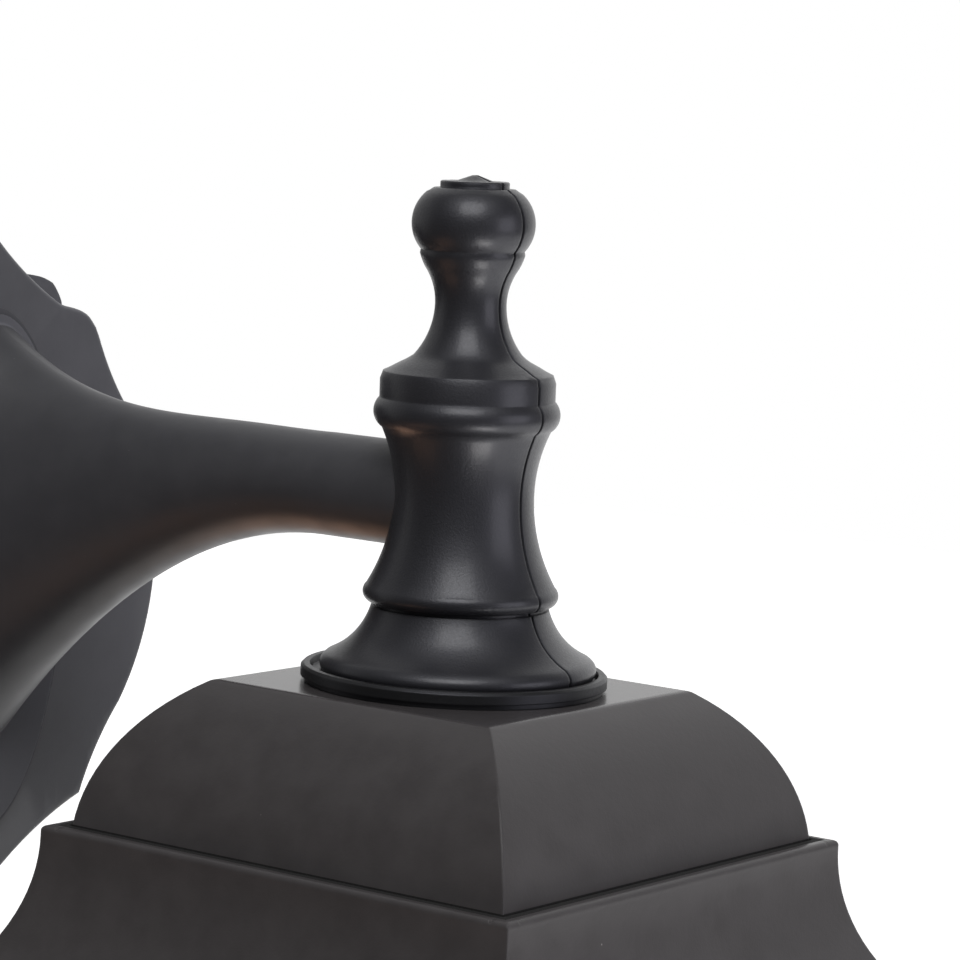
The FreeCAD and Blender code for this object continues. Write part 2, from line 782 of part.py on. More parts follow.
def holder_sleeve():
    spigot = holder_radius - holder_wall - fit_gap
    inner = spigot - holder_wall
    points = [
        (inner, cap_bottom_z + sleeve_overlap),
        (spigot, cap_bottom_z + sleeve_overlap),
        (spigot, cap_bottom_z),
        (holder_radius, cap_bottom_z),
        (holder_radius, cap_bottom_z - sleeve_overlap),
        (sleeve_mouth_radius, sleeve_z + holder_wall),
        (sleeve_mouth_radius, sleeve_z),
        (shell_radius + fit_gap, sleeve_z),
        (shell_radius + fit_gap, shell_z),
        (inner, core_z),
    ]
    return turned_points(points)


def holder_core():
    radius = holder_radius - 2 * holder_wall - 2 * fit_gap
    core = rod(radius, core_height, on_axis(0, core_z))
    edge = [e for e in core.Edges if len(e.Vertexes) == 1]
    core = core.makeChamfer(core_chamfer, edge)
    for side in (1, -1):
        core = core.cut(rod(core_cable_radius, core_height, on_axis(side * core_cable_offset, core_z)))
    return core


def screw_shell():
    tube = rod(shell_radius, shell_length, on_axis(0, shell_z))
    return tube.cut(rod(shell_radius - shell_wall, shell_length, on_axis(0, shell_z)))


def centre_contact():
    bottom = core_z - contact_rise
    button = rod(contact_radius, contact_thickness, on_axis(0, bottom))
    stem = rod(contact_stem_radius, contact_rise - contact_thickness,
               on_axis(0, bottom + contact_thickness))
    return joined([button, stem])


def bulb():
    tip_z = core_z - contact_rise - fit_gap
    shoulder_z = tip_z - bulb_tip_length
    cap_end_z = shoulder_z - bulb_cap_length
    neck_end_z = cap_end_z - bulb_neck_length
    bottom_z = cap_end_z - bulb_length
    globe_z = bottom_z + bulb_radius
    edges = [
        line(on_axis(0, tip_z), on_axis(bulb_tip_radius, tip_z)),
        line(on_axis(bulb_tip_radius, tip_z), on_axis(bulb_cap_radius, shoulder_z)),
        line(on_axis(bulb_cap_radius, shoulder_z), on_axis(bulb_cap_radius, cap_end_z)),
        line(on_axis(bulb_cap_radius, cap_end_z), on_axis(bulb_neck_radius, cap_end_z)),
        line(on_axis(bulb_neck_radius, cap_end_z), on_axis(bulb_neck_radius, neck_end_z)),
        arc_upright_at(on_axis(bulb_radius, globe_z), on_axis(bulb_neck_radius, neck_end_z)),
        arc_upright_at(on_axis(bulb_radius, globe_z), on_axis(0, bottom_z)),
        line(on_axis(0, bottom_z), on_axis(0, tip_z)),
    ]
    return turned(edges)


# Cage and panes
def cage_half(z):
    share = (cage_top_z - z) / cage_height
    return cage_top_half + (cage_bottom_half - cage_top_half) * share


def level_polygon(points, z):
    corners = [Vector(x, axis_y + y, z) for x, y in points]
    return Part.makePolygon(corners + corners[:1])


def square_points(half):
    return [(-half, -half), (half, -half), (half, half), (-half, half)]


def square(half, z):
    return level_polygon(square_points(half), z)


# A solid between two level polygons with parallel sides; every face is flat.
def tapered(low_points, low_z, high_points, high_z):
    low = [Vector(x, axis_y + y, low_z) for x, y in low_points]
    high = [Vector(x, axis_y + y, high_z) for x, y in high_points]
    outlines = [low, high]
    for k in range(len(low)):
        after = (k + 1) % len(low)
        outlines.append([low[k], low[after], high[after], high[k]])
    faces = [Part.Face(Part.makePolygon(points + points[:1])) for points in outlines]
    solid = Part.Solid(Part.Shell(faces))
    if solid.Volume < 0:
        solid.reverse()
    return solid


def tapered_square(inset, z_low, z_high):
    return tapered(square_points(cage_half(z_low) - inset), z_low,
                   square_points(cage_half(z_high) - inset), z_high)


# The corner post with its two pane grooves, measured in from the cage's inner corner.
def post_outline(z):
    inner = cage_half(z) - cage_wall
    groove = pane_thickness + fit_gap
    steps = [(0, 0), (post_margin, 0), (post_margin, groove), (post_size, groove),
             (post_size, post_size), (groove, post_size), (groove, post_margin), (0, post_margin)]
    return [(inner - a, inner - b) for a, b in steps]


def window_cutter():
    high = cage_top_z - top_rail
    low = cage_z + bottom_rail
    corners = []
    for z, side in ((high, -1), (high, 1), (low, 1), (low, -1)):
        corners.append(Vector(side * (cage_half(z) - window_border), axis_y + cage_flange_half, z))
    opening = Part.Face(Part.makePolygon(corners + corners[:1]))
    return opening.extrude(Vector(0, -2 * cage_flange_half, 0))


def cage():
    plate = box(-cage_flange_half, cage_flange_half, axis_y - cage_flange_half, axis_y + cage_flange_half,
                cage_top_z, flange_z)
    walls = joined([plate, tapered_square(0, cage_z, cage_top_z)])
    walls = walls.cut(tapered_square(cage_wall, cage_z, flange_z))
    for cutter in four_ways(window_cutter())[:2]:
        walls = walls.cut(cutter)
    post = tapered(post_outline(cage_z), cage_z, post_outline(flange_z), flange_z)
    inner = cage_half(cage_z) - cage_wall
    block_in = inner - block_size
    block = box(block_in, cage_bottom_half, axis_y + block_in, axis_y + cage_bottom_half,
                cage_z, cage_z + pane_seat).common(tapered_square(0, cage_z, cage_top_z))
    frame = joined([walls] + four_ways(post) + four_ways(block))
    screw_at = inner - tray_screw_inset
    thread = rod(tray_screw_radius + thread_gap, tray_screw_length - tray_plate,
                 Vector(screw_at, axis_y + screw_at, cage_z))
    through = rod(cage_screw_radius + fit_gap, cage_flange_thickness,
                  Vector(cage_screw_offset, axis_y, cage_top_z))
    for hole in four_ways(thread) + four_ways(through):
        frame = frame.cut(hole)
    return frame


def pane():
    def outline(z):
        outer = cage_half(z) - cage_wall
        half = outer - post_margin - fit_gap
        inner = outer - pane_thickness
        return [(inner, -half), (outer, -half), (outer, half), (inner, half)]

    seat_z = cage_z + pane_seat
    return tapered(outline(seat_z), seat_z, outline(cage_top_z), cage_top_z)


def cage_screws():
    head_z = cage_top_z - thumb_height
    head = rod(thumb_radius, thumb_height, Vector(0, 0, head_z))
    for k in range(thumb_flutes):
        angle = 2 * math.pi * k / thumb_flutes
        place = Vector(thumb_radius * math.cos(angle), thumb_radius * math.sin(angle), head_z)
        head = head.cut(rod(thumb_flute_radius, thumb_height, place))
    shank = rod(cage_screw_radius, cage_flange_thickness + cage_screw_reach, Vector(0, 0, cage_top_z))
    screw = head.fuse(shank).removeSplitter()
    screw.translate(Vector(cage_screw_offset, axis_y, 0))
    return Part.Compound(four_ways(screw))


# Bottom tray and knob
def tray_section(inset):
    half = cage_bottom_half + tray_overhang - inset
    plate_z = cage_z - tray_plate
    foot_z = plate_z - tray_drop + inset
    start = on_axis(half, plate_z)
    end = on_axis(tray_foot_half - inset, foot_z)
    chord = end - start
    normal = Vector(-chord.z, 0, chord.x).normalize()
    return [
        line(on_axis(0, plate_z), start),
        arc(start, (start + end) * 0.5 + normal * tray_bow, end),
        line(end, on_axis(0, foot_z)),
    ]


def bottom_tray():
    plate_half = cage_bottom_half + tray_overhang
    plate_z = cage_z - tray_plate
    lid = Part.Face(square(plate_half, plate_z)).extrude(Vector(0, 0, tray_plate))
    opening = cage_bottom_half - cage_wall - block_size - fit_gap
    lid = lid.cut(Part.Face(square(opening, plate_z)).extrude(Vector(0, 0, tray_plate)))
    pan = square_solid(tray_section(0)).cut(square_solid(tray_section(tray_wall)))
    locator = Part.Face(square(opening, plate_z)).extrude(Vector(0, 0, tray_plate + tray_upstand))
    locator = locator.cut(Part.Face(square(opening - tray_wall, plate_z))
                          .extrude(Vector(0, 0, tray_plate + tray_upstand)))
    tray = joined([lid, pan, locator])
    foot_z = plate_z - tray_drop
    tray = tray.cut(rod(knob_stud_radius + fit_gap, tray_wall, on_axis(0, foot_z)))
    for hole in four_ways(rod(drain_radius, tray_wall, on_axis(drain_offset, foot_z))):
        tray = tray.cut(hole)
    screw_at = cage_bottom_half - cage_wall - tray_screw_inset
    well_depth = tray_drop + tray_plate
    corner = Vector(screw_at, axis_y + screw_at, plate_z)
    clear = rod(tray_screw_radius + fit_gap, tray_plate, corner)
    well = rod(tray_head_radius + fit_gap, well_depth, corner, Vector(0, 0, -1))
    for hole in four_ways(clear) + four_ways(well):
        tray = tray.cut(hole)
    return tray


def tray_screws():
    screw_at = cage_bottom_half - cage_wall - tray_screw_inset
    screw = slotted_screw(tray_screw_radius, tray_screw_length, tray_head_radius, tray_head_height)
    screw.translate(Vector(screw_at, axis_y + screw_at, cage_z - tray_plate))
    return Part.Compound(four_ways(screw))


def bottom_knob():
    seat_z = cage_z - tray_plate - tray_drop
    collar_z = seat_z - knob_collar_height
    neck_z = collar_z - knob_neck_height
    ball_rise = math.sqrt(knob_radius ** 2 - knob_neck_radius ** 2)
    ball_z = neck_z - ball_rise
    end_z = ball_z - knob_radius
    stud_top = seat_z + tray_wall + knob_nut_thickness + knob_stud_proud
    edges = [
        line(on_axis(0, stud_top), on_axis(knob_stud_radius, stud_top)),
        line(on_axis(knob_stud_radius, stud_top), on_axis(knob_stud_radius, seat_z)),
        line(on_axis(knob_stud_radius, seat_z), on_axis(knob_collar_radius, seat_z)),
        line(on_axis(knob_collar_radius, seat_z), on_axis(knob_collar_radius, collar_z)),
        arc_upright_at(on_axis(knob_neck_radius, neck_z), on_axis(knob_collar_radius, collar_z)),
        arc(on_axis(knob_neck_radius, neck_z), on_axis(knob_radius, ball_z), on_axis(0, end_z)),
        line(on_axis(0, end_z), on_axis(0, stud_top)),
    ]
    return turned(edges)


def knob_nut():
    base = on_axis(0, cage_z - tray_plate - tray_drop + tray_wall)
    return hexagon(knob_nut_half_flats, knob_stud_radius + thread_gap, knob_nut_thickness, base)


# Wall bracket, screws and terminal block
# Half width of the plate's side wall at a distance from the wall, at mid height.
def side_wall_x(y, inset):
    share = max(0.0, (y - flange_thickness) / (plate_depth - flange_thickness))
    return plate_half_width - plate_draft * share - inset


def tab_x():
    bulge = (bulge_inset ** 2 + bulge_half_height ** 2) / (2 * bulge_inset)
    sag = bulge - math.sqrt(bulge ** 2 - bracket_half_height ** 2)
    return side_wall_x(tab_depth, plate_wall) - plate_draft - sag - fit_gap


def mounting_bracket():
    half = tab_x()
    strap = box(-half, half, -bracket_thickness, 0, -bracket_half_height, bracket_half_height)
    tongue = box(-tongue_half_width, tongue_half_width, -bracket_thickness, 0, -tongue_drop, 0)
    pieces = [strap, tongue]
    for side in (1, -1):
        inner, outer = sorted((side * (half - bracket_thickness), side * half))
        pieces.append(box(inner, outer, -tab_depth, 0, -bracket_half_height, bracket_half_height))
    bracket = joined(pieces)
    bends = [e for e in bracket.Edges
             if all(abs(v.Y) < same_place and abs(abs(v.X) - half) < same_place for v in e.Vertexes)]
    bracket = bracket.makeFillet(bend_radius, bends)
    bracket = bracket.cut(rod(bracket_hole_radius, bracket_thickness, Vector(0, 0, 0), Vector(0, -1, 0)))
    flat = slot_length / 2 - slot_radius
    for side in (1, -1):
        middle = side * slot_spacing / 2
        slot = [box(middle - flat, middle + flat, -bracket_thickness, 0, -slot_radius, slot_radius)]
        for end in (-flat, flat):
            slot.append(rod(slot_radius, bracket_thickness, Vector(middle + end, 0, 0), Vector(0, -1, 0)))
        bracket = bracket.cut(joined(slot))
        peg = rod(block_peg_radius + thread_gap, bracket_thickness,
                  Vector(side * block_peg_spacing / 2, 0, block_z), Vector(0, -1, 0))
        bracket = bracket.cut(peg)
    thread = rod(side_screw_radius + thread_gap, 2 * half, Vector(-half, -side_screw_y, 0), Vector(1, 0, 0))
    return bracket.cut(thread)


def side_screws():
    seat = side_wall_x(side_screw_y - side_head_radius, 0) + thread_gap
    length = seat - tab_x() + 2 * bracket_thickness
    screws = []
    for side in (1, -1):
        screw = slotted_screw(side_screw_radius, length, side_head_radius, side_head_height)
        screws.append(placed(screw, Vector(-side, 0, 0), Vector(side * seat, -side_screw_y, 0)))
    return Part.Compound(screws)


def terminal_places():
    return [(column * block_pitch, row * terminal_row) for column in (-1, 0, 1) for row in (-1, 1)]


def terminal_block():
    top_y = -bracket_thickness - block_depth
    body = box(-block_width / 2, block_width / 2, top_y, -bracket_thickness,
               block_z - block_height / 2, block_z + block_height / 2)
    for side in (-block_pitch / 2, block_pitch / 2):
        body = body.cut(box(side - block_notch / 2, side + block_notch / 2, top_y, top_y + terminal_depth,
                            block_z - block_height / 2, block_z + block_height / 2))
    for x, z in terminal_places():
        well = Vector(x, top_y, block_z + z)
        body = body.cut(rod(terminal_radius + fit_gap, terminal_depth, well, Vector(0, 1, 0)))
    well_y = -bracket_thickness - block_depth / 2 + wire_well_radius
    for x in (-block_pitch, 0, block_pitch):
        body = body.cut(rod(wire_well_radius, block_height, Vector(x, well_y, block_z - block_height / 2)))
    for side in (1, -1):
        peg = rod(block_peg_radius, bracket_thickness,
                  Vector(side * block_peg_spacing / 2, -bracket_thickness, block_z), Vector(0, 1, 0))
        body = body.fuse(peg)
    return body.removeSplitter()


def terminal_screws():
    top_y = -bracket_thickness - block_depth
    screws = []
    for x, z in terminal_places():
        screw = rod(terminal_radius, terminal_depth - slot_cut_depth, Vector(0, 0, 0))
        slot = box(-slot_cut_width / 2, slot_cut_width / 2, -terminal_radius, terminal_radius,
                   0, slot_cut_depth)
        seat = Vector(x, top_y + slot_cut_depth, block_z + z)
        screws.append(placed(screw.cut(slot), Vector(0, 1, 0), seat))
    return Part.Compound(screws)


def main():
    os.makedirs("parts", exist_ok=True)
    nodes = {
        "wall_plate": wall_plate(),
        "wall_gasket": gasket_ring(0),
        "mounting_bracket": mounting_bracket(),
        "side_screws": side_screws(),
        "terminal_block": terminal_block(),
        "terminal_screws": terminal_screws(),
        "arm": arm(),
        "arm_screws": arm_screws(),
        "column_left": column_half(-1),
        "column_right": column_half(1),
        "column_ring": column_ring(),
        "roof": roof(),
        "threaded_tube": threaded_tube(),
        "elbow_nut": elbow_nut(),
        "roof_washer": roof_washer(),
        "roof_nut": roof_nut(),
        "holder_cap": holder_cap(),
        "holder_sleeve": holder_sleeve(),
        "holder_core": holder_core(),
        "screw_shell": screw_shell(),
        "centre_contact": centre_contact(),
        "bulb": bulb(),
        "cage": cage(),
        "cage_screws": cage_screws(),
        "bottom_tray": bottom_tray(),
        "tray_screws": tray_screws(),
        "bottom_knob": bottom_knob(),
        "knob_nut": knob_nut(),
    }
    for side, glass in zip(("right", "back", "left", "front"), four_ways(pane())):
        nodes["pane_" + side] = glass
    for name, shape in nodes.items():
        shape.exportStep("parts/" + name + ".step")
        print(name, len(shape.Solids), "solid", round(shape.Volume), "mm3", "valid", shape.isValid())


main()
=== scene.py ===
import math

import bmesh
import bpy
from mathutils import Matrix, Vector


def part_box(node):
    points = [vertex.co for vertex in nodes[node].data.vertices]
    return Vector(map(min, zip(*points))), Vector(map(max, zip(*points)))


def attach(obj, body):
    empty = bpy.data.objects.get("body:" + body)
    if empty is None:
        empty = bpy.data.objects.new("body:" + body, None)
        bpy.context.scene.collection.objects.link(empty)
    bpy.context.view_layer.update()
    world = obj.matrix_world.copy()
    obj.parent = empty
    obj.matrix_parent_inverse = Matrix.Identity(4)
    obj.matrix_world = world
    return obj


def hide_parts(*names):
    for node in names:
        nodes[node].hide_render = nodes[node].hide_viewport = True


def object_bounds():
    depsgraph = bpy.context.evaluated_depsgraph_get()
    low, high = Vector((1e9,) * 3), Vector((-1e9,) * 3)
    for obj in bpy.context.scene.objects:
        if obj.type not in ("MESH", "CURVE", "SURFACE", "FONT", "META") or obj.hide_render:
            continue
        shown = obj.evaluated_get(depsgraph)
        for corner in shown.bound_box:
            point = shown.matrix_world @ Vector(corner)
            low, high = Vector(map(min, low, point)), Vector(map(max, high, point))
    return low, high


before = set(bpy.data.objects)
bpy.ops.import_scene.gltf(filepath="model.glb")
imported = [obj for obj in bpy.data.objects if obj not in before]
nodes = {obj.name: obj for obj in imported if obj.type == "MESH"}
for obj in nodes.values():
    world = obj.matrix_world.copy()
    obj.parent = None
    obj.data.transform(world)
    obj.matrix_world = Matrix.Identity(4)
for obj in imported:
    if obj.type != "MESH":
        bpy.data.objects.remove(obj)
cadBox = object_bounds()
scene = bpy.context.scene
scene.view_settings.view_transform = "Standard"
print("frame loaded,", len(nodes), "nodes")


# small helpers

weldGap = 1e-6      # points nearer than this are one, in metres


def hexToLinear(code):
    channels = [int(code[k:k + 2], 16) / 255 for k in (1, 3, 5)]
    linear = [c / 12.92 if c <= 0.04045 else ((c + 0.055) / 1.055) ** 2.4 for c in channels]
    return (*linear, 1.0)


def perMm(size):
    return 1000 / size      # texture scale for a pattern whose features are size mm wide


# a share from 0 to 1 with a soft start and end
def eased(share):
    share = min(max(share, 0), 1)
    return share * share * (3 - 2 * share)


# one node: plain settings go to its sockets or its own options, links name the sockets they feed;
# a Mix node goes by number: 0 is the share, 2 and 3 plain values, 6 and 7 colours
def addNode(tree, kind, settings=None, links=None):
    node = tree.nodes.new(kind)
    for key, value in (settings or {}).items():
        if isinstance(key, int) or key in node.inputs:
            node.inputs[key].default_value = value
        else:
            setattr(node, key, value)
    for key, source in (links or {}).items():
        tree.links.new(source, node.inputs[key])
    return node


def newMaterial(name):
    material = bpy.data.materials.new(name)
    material.use_nodes = True
    material.node_tree.nodes.clear()
    return material, material.node_tree


def finishMaterial(material, tree, shader):
    addNode(tree, "ShaderNodeOutputMaterial", links={"Surface": shader.outputs[0]})
    return material


def dress(material, *names):
    for name in names:
        nodes[name].data.materials.clear()
        nodes[name].data.materials.append(material)


# a bmesh becomes a smooth piece of the light, with sharp edges where it turns by more than the angle
def addPiece(name, shape, material, sharpDegrees):
    mesh = bpy.data.meshes.new(name)
    shape.to_mesh(mesh)
    shape.free()
    if "custom_normal" in mesh.attributes:
        mesh.attributes.remove(mesh.attributes["custom_normal"])    # a solid's own shading no longer fits
    mesh.shade_smooth()
    mesh.set_sharp_from_angle(angle=math.radians(sharpDegrees))
    mesh.materials.append(material)
    piece = bpy.data.objects.new(name, mesh)
    scene.collection.objects.link(piece)
    return piece


# camera at the photograph's place: a long lens, a little above the roof, rolled slightly
photoCamera = {"place": (-0.67342, -0.66059, 0.12851), "azimuth": -53.73, "drop": 6.20, "roll": 2.83,
               "lens": 145.61, "sensor": 36.0, "clipStart": 0.01}
lensData = bpy.data.cameras.new("photoCamera")
lensData.lens = photoCamera["lens"]
lensData.sensor_width = photoCamera["sensor"]
lensData.sensor_fit = "HORIZONTAL"
lensData.clip_start = photoCamera["clipStart"]
cameraObject = bpy.data.objects.new("photoCamera", lensData)
scene.collection.objects.link(cameraObject)
cameraObject.matrix_world = (
    Matrix.Translation(photoCamera["place"])
    @ Matrix.Rotation(math.radians(photoCamera["azimuth"]), 4, "Z")
    @ Matrix.Rotation(math.radians(90 - photoCamera["drop"]), 4, "X")
    @ Matrix.Rotation(math.radians(photoCamera["roll"]), 4, "Z"))
scene.camera = cameraObject
print("camera placed")


# Powder coat on die-cast aluminium: satin with a faint orange peel, a cloudy tone and pinprick specks painted
# light as glints.
# The grit is drawn coarser than it is, so that it shows.
def powderCoat(name, look):
    material, tree = newMaterial(name)
    place = addNode(tree, "ShaderNodeTexCoord").outputs["Object"]
    spot = addNode(tree, "ShaderNodeSeparateXYZ", links={"Vector": place})
    clouds = addNode(tree, "ShaderNodeTexNoise",
                     {"Scale": perMm(look["cloudMm"]), "Detail": 5.0, "Roughness": 0.6}, {"Vector": place})
    cloudy = addNode(tree, "ShaderNodeMapRange", {"From Min": 0.35, "From Max": 0.65},
                     {"Value": clouds.outputs["Fac"]})
    tone = addNode(tree, "ShaderNodeMix",
                   {"data_type": "RGBA", 6: hexToLinear(look["dark"]), 7: hexToLinear(look["light"])},
                   {0: cloudy.outputs[0]})
    rough = addNode(tree, "ShaderNodeMapRange",
                    {"From Min": 0.3, "From Max": 0.7, "To Min": look["rough"] - look["roughSpread"],
                     "To Max": look["rough"] + look["roughSpread"]}, {"Value": clouds.outputs["Fac"]})

    # painted glints: single light specks, one in every few millimetres, most of them too faint to see
    grains = addNode(tree, "ShaderNodeTexVoronoi", {"Scale": perMm(look["grainMm"])}, {"Vector": place})
    dot = addNode(tree, "ShaderNodeMapRange",
                  {"From Min": 0.03, "From Max": 0.05, "To Min": 1.0, "To Max": 0.0},
                  {"Value": grains.outputs["Distance"]})
    chance = addNode(tree, "ShaderNodeSeparateColor", links={"Color": grains.outputs["Color"]})
    few = addNode(tree, "ShaderNodeMapRange", {"From Min": 0.8, "From Max": 1.0, "To Max": look["paintedGlint"]},
                  {"Value": chance.outputs["Red"]})
    paintedGlint = addNode(tree, "ShaderNodeMath", {"operation": "MULTIPLY"}, {0: dot.outputs[0], 1: few.outputs[0]})
    speckled = addNode(tree, "ShaderNodeMix", {"data_type": "RGBA", 7: hexToLinear(look["paintedGlintColour"])},
                       {0: paintedGlint.outputs[0], 6: tone.outputs[2]})

    # painted shade: the inner half of the ledge, in the corner at the dome's foot, is painted near black and
    # made dull
    depth = addNode(tree, "ShaderNodeMath", {"operation": "SUBTRACT", 1: look["ledgeShadeMiddle"]},
                    {0: spot.outputs["Y"]})
    sideways = addNode(tree, "ShaderNodeMath", {"operation": "ABSOLUTE"}, {0: spot.outputs["X"]})
    lengthways = addNode(tree, "ShaderNodeMath", {"operation": "ABSOLUTE"}, {0: depth.outputs[0]})
    outward = addNode(tree, "ShaderNodeMath", {"operation": "MAXIMUM"},
                      {0: sideways.outputs[0], 1: lengthways.outputs[0]})
    within = addNode(tree, "ShaderNodeMath", {"operation": "LESS_THAN", 1: look["ledgeShadeHalf"]},
                     {0: outward.outputs[0]})
    band = addNode(tree, "ShaderNodeMath", {"operation": "COMPARE", 1: look["ledgeShadeLevel"], 2: look["ledgeShadeBand"]},
                   {0: spot.outputs["Z"]})
    ledge = addNode(tree, "ShaderNodeMath", {"operation": "MULTIPLY"},
                    {0: within.outputs[0], 1: band.outputs[0]})
    ledgeShadedTone = addNode(tree, "ShaderNodeMix", {"data_type": "RGBA", 7: hexToLinear(look["ledgeShade"])},
                      {0: ledge.outputs[0], 6: speckled.outputs[2]})

    # wet paint levels out on a flat top and dries smoother there
    flat = addNode(tree, "ShaderNodeMath", {"operation": "GREATER_THAN", 1: look["levelFrom"]},
                   {0: spot.outputs["Z"]})
    levelled = addNode(tree, "ShaderNodeMix", {3: look["levelRough"]},
                       {0: flat.outputs[0], 2: rough.outputs[0]})
    ledgeShadeRough = addNode(tree, "ShaderNodeMix", {3: look["ledgeShadeRough"]},
                       {0: ledge.outputs[0], 2: levelled.outputs[0]})

    # a foot that is bolted to the wall plate is sprayed along with it, in its paler paint, painted paler
    # still as painted light against the shade under the horn
    close = addNode(tree, "ShaderNodeMath", {"operation": "GREATER_THAN", 1: look["wallFrom"]},
                    {0: spot.outputs["Y"]})
    padToneAndPaintedLight = addNode(tree, "ShaderNodeMix", {"data_type": "RGBA", 7: hexToLinear(look["wallToneAndPaintedLight"])},
                      {0: close.outputs[0], 6: ledgeShadedTone.outputs[2]})
    # painted shade: the rounding into the plate is painted darker in the crease
    creaseShade = addNode(tree, "ShaderNodeMath", {"operation": "GREATER_THAN", 1: look["creaseShadeFrom"]},
                     {0: spot.outputs["Y"]})
    coatTone = addNode(tree, "ShaderNodeMix", {"data_type": "RGBA", 7: hexToLinear(look["creaseShade"])},
                       {0: creaseShade.outputs[0], 6: padToneAndPaintedLight.outputs[2]})
    coatRough = addNode(tree, "ShaderNodeMix", {3: look["wallRough"]},
                        {0: close.outputs[0], 2: ledgeShadeRough.outputs[0]})

    # orange peel and grit over softened edges
    peel = addNode(tree, "ShaderNodeTexNoise", {"Scale": perMm(look["peelMm"]), "Detail": 2.0},
                   {"Vector": place})
    specks = addNode(tree, "ShaderNodeTexNoise", {"Scale": perMm(look["gritMm"]), "Detail": 3.0},
                     {"Vector": place})
    edge = addNode(tree, "ShaderNodeBevel", {"Radius": look["edgeMm"] / 1000, "samples": 6})
    relief = addNode(tree, "ShaderNodeBump", {"Strength": look["peel"], "Distance": 0.0002},
                     {"Height": peel.outputs["Fac"], "Normal": edge.outputs[0]})
    grit = addNode(tree, "ShaderNodeBump", {"Strength": look["grit"], "Distance": 0.0001},
                   {"Height": specks.outputs["Fac"], "Normal": relief.outputs[0]})
    shader = addNode(tree, "ShaderNodeBsdfPrincipled", {"IOR": 1.5, "Specular IOR Level": look["specular"]},
                     {"Base Color": coatTone.outputs[2], "Roughness": coatRough.outputs[0],
                      "Normal": grit.outputs[0]})
    return finishMaterial(material, tree, shader)


# a level of 1 m lies beyond the light, so it leaves that part of the coat out
roofLook = {"dark": "#464344", "light": "#4B4849", "cloudMm": 9, "rough": 0.38, "roughSpread": 0.05,
            "specular": 0.5, "paintedGlintColour": "#9A9694", "paintedGlint": 1.0, "grainMm": 5, "gritMm": 0.5, "grit": 0.2,
            "peelMm": 1.6, "peel": 0.12, "edgeMm": 0.8, "ledgeShade": "#1B1A1A", "ledgeShadeRough": 0.95,
            "ledgeShadeLevel": -0.0408, "ledgeShadeBand": 0.0005, "ledgeShadeMiddle": -0.162, "ledgeShadeHalf": 0.0602,
            "levelFrom": -0.0079, "levelRough": 0.26, "wallFrom": 1.0, "wallToneAndPaintedLight": "#707076",
            "wallRough": 0.8, "creaseShadeFrom": 1.0, "creaseShade": "#4C4C51"}
dress(powderCoat("graphitePowderCoat", roofLook), "roof", "cage", "bottom_tray", "bottom_knob")

# the plate's coat is paler and duller than the roof's
plateLook = dict(roofLook, dark="#606065", light="#65656A", rough=0.45, paintedGlint=0.5, ledgeShadeBand=0.0, levelFrom=1.0)
plateCoat = powderCoat("slatePowderCoat", plateLook)
dress(plateCoat, "wall_plate")

# the arm is sprayed satin over a polished casting, so it is smoother than the roof; its pad lies on the plate
# and shares the plate's paint, made paler still as painted light, up to this far in front of it; painted
# shade darkens the crease nearer the plate
padPaint = {"wallMm": 3.0, "creaseShadeMm": 2.17}
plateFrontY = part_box("wall_plate")[0].y
armLook = dict(roofLook, dark="#454549", light="#49494D", paintedGlint=0.15, rough=0.41, peel=0.06, grit=0.06,
               ledgeShadeBand=0.0, levelFrom=1.0, wallFrom=plateFrontY - padPaint["wallMm"] / 1000,
               creaseShadeFrom=plateFrontY - padPaint["creaseShadeMm"] / 1000)
dress(powderCoat("satinSprayedCasting", armLook), "arm")
print("coated castings done")

# Filler in the groove at the dome's foot, where the groove runs out through the ledge's corners, in mm
fillShape = {"middleY": -162.0, "groove": (57.7, 58.4), "ledge": -40.5, "depth": 0.7, "edgeStart": 61.3,
             "edgeRound": 1.2, "steps": 8, "edgeMm": 0.05, "sharpDegrees": 30}
near, far = fillShape["groove"]
lowest = math.asin(1 - fillShape["depth"] / fillShape["edgeRound"])
profile = [(far, fillShape["ledge"]), (far, fillShape["ledge"] - fillShape["depth"])]
for k in range(fillShape["steps"] + 1):
    turn = lowest + (math.pi / 2 - lowest) * k / fillShape["steps"]
    profile.append((fillShape["edgeStart"] + fillShape["edgeRound"] * math.cos(turn),
                    fillShape["ledge"] - fillShape["edgeRound"] * (1 - math.sin(turn))))
fill = bmesh.new()
for sideX in (1, -1):
    for sideY in (1, -1):
        for swapped in (False, True):
            points = [(near, out, z) if swapped else (out, near, z) for out, z in profile]
            verts = [fill.verts.new((sideX * x / 1000, (fillShape["middleY"] + sideY * y) / 1000, z / 1000))
                     for x, y, z in points]
            wide = (far - near) / 1000
            shift = (sideX * wide, 0, 0) if swapped else (0, sideY * wide, 0)
            slab = bmesh.ops.extrude_face_region(fill, geom=[fill.faces.new(verts)])["geom"]
            bmesh.ops.translate(fill, vec=shift, verts=[v for v in slab if isinstance(v, bmesh.types.BMVert)])
bmesh.ops.recalc_face_normals(fill, faces=fill.faces[:])
fillCoat = powderCoat("fillerPowderCoat", dict(roofLook, edgeMm=fillShape["edgeMm"]))
fillObject = addPiece("ledgeFiller", fill, fillCoat, fillShape["sharpDegrees"])
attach(fillObject, "root")
print("ledge filler done")

